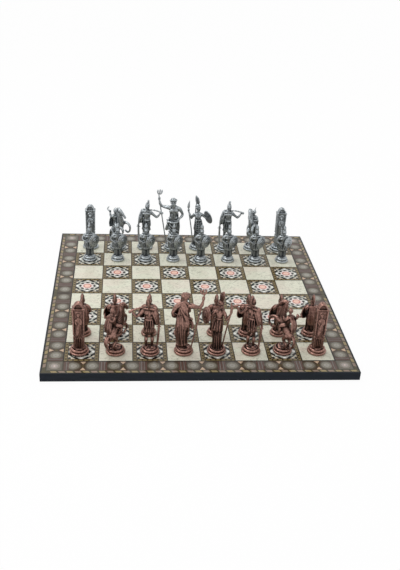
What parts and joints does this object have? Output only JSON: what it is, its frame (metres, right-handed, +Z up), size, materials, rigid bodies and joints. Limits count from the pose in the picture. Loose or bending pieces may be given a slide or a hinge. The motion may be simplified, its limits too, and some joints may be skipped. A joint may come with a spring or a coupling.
{
  "type": "chess set",
  "caption": "Folding chessboard with star and plain squares, set out with silver and copper figure men on stepped round bases.",
  "frame": {"origin": "on the table, under the middle of the open board", "axes": "+Z up, +X along the ranks to the right, +Y from the copper side to the silver side"},
  "size_m": [0.37, 0.37, 0.104],
  "materials": {
    "core_board": "raw fibreboard",
    "light_veneer": "gloss lacquer",
    "star_veneer": "gloss lacquer over mosaic",
    "border_veneer": "gloss lacquer over mosaic",
    "backing_sheet": "matt sheet",
    "edge_band": "dark satin lacquer",
    "hinge_brass": "satin",
    "pin_steel": "satin",
    "screw_brass": "satin",
    "foot_rubber": "matt",
    "antique_silver": "antique silver, dark in the recesses",
    "antique_copper": "antique copper, dark in the recesses"
  },
  "bodies": {
    "rear_half": {"rear_core": "core_board", "rear_light_squares": "light_veneer", "rear_star_squares": "star_veneer", "rear_border": "border_veneer", "rear_backing": "backing_sheet", "rear_edge_band": "edge_band", "rear_hinge_leaves": "hinge_brass", "hinge_pins": "pin_steel", "rear_hinge_screws": "screw_brass", "rear_feet": "foot_rubber"},
    "front_half": {"front_core": "core_board", "front_light_squares": "light_veneer", "front_star_squares": "star_veneer", "front_border": "border_veneer", "front_backing": "backing_sheet", "front_edge_band": "edge_band", "front_hinge_leaves": "hinge_brass", "front_hinge_screws": "screw_brass", "front_feet": "foot_rubber"},
    "silver_rook_left": {"silver_rook_left": "antique_silver"},
    "silver_knight_left": {"silver_knight_left": "antique_silver"},
    "silver_bishop_left": {"silver_bishop_left": "antique_silver"},
    "silver_king": {"silver_king": "antique_silver"},
    "silver_queen": {"silver_queen": "antique_silver"},
    "silver_bishop_right": {"silver_bishop_right": "antique_silver"},
    "silver_knight_right": {"silver_knight_right": "antique_silver"},
    "silver_rook_right": {"silver_rook_right": "antique_silver"},
    "silver_pawn_1": {"silver_pawn_1": "antique_silver"},
    "silver_pawn_2": {"silver_pawn_2": "antique_silver"},
    "silver_pawn_3": {"silver_pawn_3": "antique_silver"},
    "silver_pawn_4": {"silver_pawn_4": "antique_silver"},
    "silver_pawn_5": {"silver_pawn_5": "antique_silver"},
    "silver_pawn_6": {"silver_pawn_6": "antique_silver"},
    "silver_pawn_7": {"silver_pawn_7": "antique_silver"},
    "silver_pawn_8": {"silver_pawn_8": "antique_silver"},
    "copper_rook_left": {"copper_rook_left": "antique_copper"},
    "copper_knight_left": {"copper_knight_left": "antique_copper"},
    "copper_bishop_left": {"copper_bishop_left": "antique_copper"},
    "copper_king": {"copper_king": "antique_copper"},
    "copper_queen": {"copper_queen": "antique_copper"},
    "copper_bishop_right": {"copper_bishop_right": "antique_copper"},
    "copper_knight_right": {"copper_knight_right": "antique_copper"},
    "copper_rook_right": {"copper_rook_right": "antique_copper"},
    "copper_pawn_1": {"copper_pawn_1": "antique_copper"},
    "copper_pawn_2": {"copper_pawn_2": "antique_copper"},
    "copper_pawn_3": {"copper_pawn_3": "antique_copper"},
    "copper_pawn_4": {"copper_pawn_4": "antique_copper"},
    "copper_pawn_5": {"copper_pawn_5": "antique_copper"},
    "copper_pawn_6": {"copper_pawn_6": "antique_copper"},
    "copper_pawn_7": {"copper_pawn_7": "antique_copper"},
    "copper_pawn_8": {"copper_pawn_8": "antique_copper"}
  },
  "joints": [
    {"name": "board_fold", "type": "hinge", "parent": "rear_half", "child": "front_half", "pos_m": [0, 0, 0.0025], "axis": [1, 0, 0], "range_deg": [0, 178]},
    {"name": "silver_rook_left_lift", "type": "slide", "parent": "rear_half", "child": "silver_rook_left", "axis": [0, 0, 1], "range_m": [0, 0.11]},
    {"name": "silver_knight_left_lift", "type": "slide", "parent": "rear_half", "child": "silver_knight_left", "axis": [0, 0, 1], "range_m": [0, 0.11]},
    {"name": "silver_bishop_left_lift", "type": "slide", "parent": "rear_half", "child": "silver_bishop_left", "axis": [0, 0, 1], "range_m": [0, 0.11]},
    {"name": "silver_king_lift", "type": "slide", "parent": "rear_half", "child": "silver_king", "axis": [0, 0, 1], "range_m": [0, 0.11]},
    {"name": "silver_queen_lift", "type": "slide", "parent": "rear_half", "child": "silver_queen", "axis": [0, 0, 1], "range_m": [0, 0.11]},
    {"name": "silver_bishop_right_lift", "type": "slide", "parent": "rear_half", "child": "silver_bishop_right", "axis": [0, 0, 1], "range_m": [0, 0.11]},
    {"name": "silver_knight_right_lift", "type": "slide", "parent": "rear_half", "child": "silver_knight_right", "axis": [0, 0, 1], "range_m": [0, 0.11]},
    {"name": "silver_rook_right_lift", "type": "slide", "parent": "rear_half", "child": "silver_rook_right", "axis": [0, 0, 1], "range_m": [0, 0.11]},
    {"name": "silver_pawn_1_lift", "type": "slide", "parent": "rear_half", "child": "silver_pawn_1", "axis": [0, 0, 1], "range_m": [0, 0.11]},
    {"name": "silver_pawn_2_lift", "type": "slide", "parent": "rear_half", "child": "silver_pawn_2", "axis": [0, 0, 1], "range_m": [0, 0.11]},
    {"name": "silver_pawn_3_lift", "type": "slide", "parent": "rear_half", "child": "silver_pawn_3", "axis": [0, 0, 1], "range_m": [0, 0.11]},
    {"name": "silver_pawn_4_lift", "type": "slide", "parent": "rear_half", "child": "silver_pawn_4", "axis": [0, 0, 1], "range_m": [0, 0.11]},
    {"name": "silver_pawn_5_lift", "type": "slide", "parent": "rear_half", "child": "silver_pawn_5", "axis": [0, 0, 1], "range_m": [0, 0.11]},
    {"name": "silver_pawn_6_lift", "type": "slide", "parent": "rear_half", "child": "silver_pawn_6", "axis": [0, 0, 1], "range_m": [0, 0.11]},
    {"name": "silver_pawn_7_lift", "type": "slide", "parent": "rear_half", "child": "silver_pawn_7", "axis": [0, 0, 1], "range_m": [0, 0.11]},
    {"name": "silver_pawn_8_lift", "type": "slide", "parent": "rear_half", "child": "silver_pawn_8", "axis": [0, 0, 1], "range_m": [0, 0.11]},
    {"name": "copper_rook_left_lift", "type": "slide", "parent": "front_half", "child": "copper_rook_left", "axis": [0, 0, 1], "range_m": [0, 0.11]},
    {"name": "copper_knight_left_lift", "type": "slide", "parent": "front_half", "child": "copper_knight_left", "axis": [0, 0, 1], "range_m": [0, 0.11]},
    {"name": "copper_bishop_left_lift", "type": "slide", "parent": "front_half", "child": "copper_bishop_left", "axis": [0, 0, 1], "range_m": [0, 0.11]},
    {"name": "copper_king_lift", "type": "slide", "parent": "front_half", "child": "copper_king", "axis": [0, 0, 1], "range_m": [0, 0.11]},
    {"name": "copper_queen_lift", "type": "slide", "parent": "front_half", "child": "copper_queen", "axis": [0, 0, 1], "range_m": [0, 0.11]},
    {"name": "copper_bishop_right_lift", "type": "slide", "parent": "front_half", "child": "copper_bishop_right", "axis": [0, 0, 1], "range_m": [0, 0.11]},
    {"name": "copper_knight_right_lift", "type": "slide", "parent": "front_half", "child": "copper_knight_right", "axis": [0, 0, 1], "range_m": [0, 0.11]},
    {"name": "copper_rook_right_lift", "type": "slide", "parent": "front_half", "child": "copper_rook_right", "axis": [0, 0, 1], "range_m": [0, 0.11]},
    {"name": "copper_pawn_1_lift", "type": "slide", "parent": "front_half", "child": "copper_pawn_1", "axis": [0, 0, 1], "range_m": [0, 0.11]},
    {"name": "copper_pawn_2_lift", "type": "slide", "parent": "front_half", "child": "copper_pawn_2", "axis": [0, 0, 1], "range_m": [0, 0.11]},
    {"name": "copper_pawn_3_lift", "type": "slide", "parent": "front_half", "child": "copper_pawn_3", "axis": [0, 0, 1], "range_m": [0, 0.11]},
    {"name": "copper_pawn_4_lift", "type": "slide", "parent": "front_half", "child": "copper_pawn_4", "axis": [0, 0, 1], "range_m": [0, 0.11]},
    {"name": "copper_pawn_5_lift", "type": "slide", "parent": "front_half", "child": "copper_pawn_5", "axis": [0, 0, 1], "range_m": [0, 0.11]},
    {"name": "copper_pawn_6_lift", "type": "slide", "parent": "front_half", "child": "copper_pawn_6", "axis": [0, 0, 1], "range_m": [0, 0.11]},
    {"name": "copper_pawn_7_lift", "type": "slide", "parent": "front_half", "child": "copper_pawn_7", "axis": [0, 0, 1], "range_m": [0, 0.11]},
    {"name": "copper_pawn_8_lift", "type": "slide", "parent": "front_half", "child": "copper_pawn_8", "axis": [0, 0, 1], "range_m": [0, 0.11]}
  ]
}
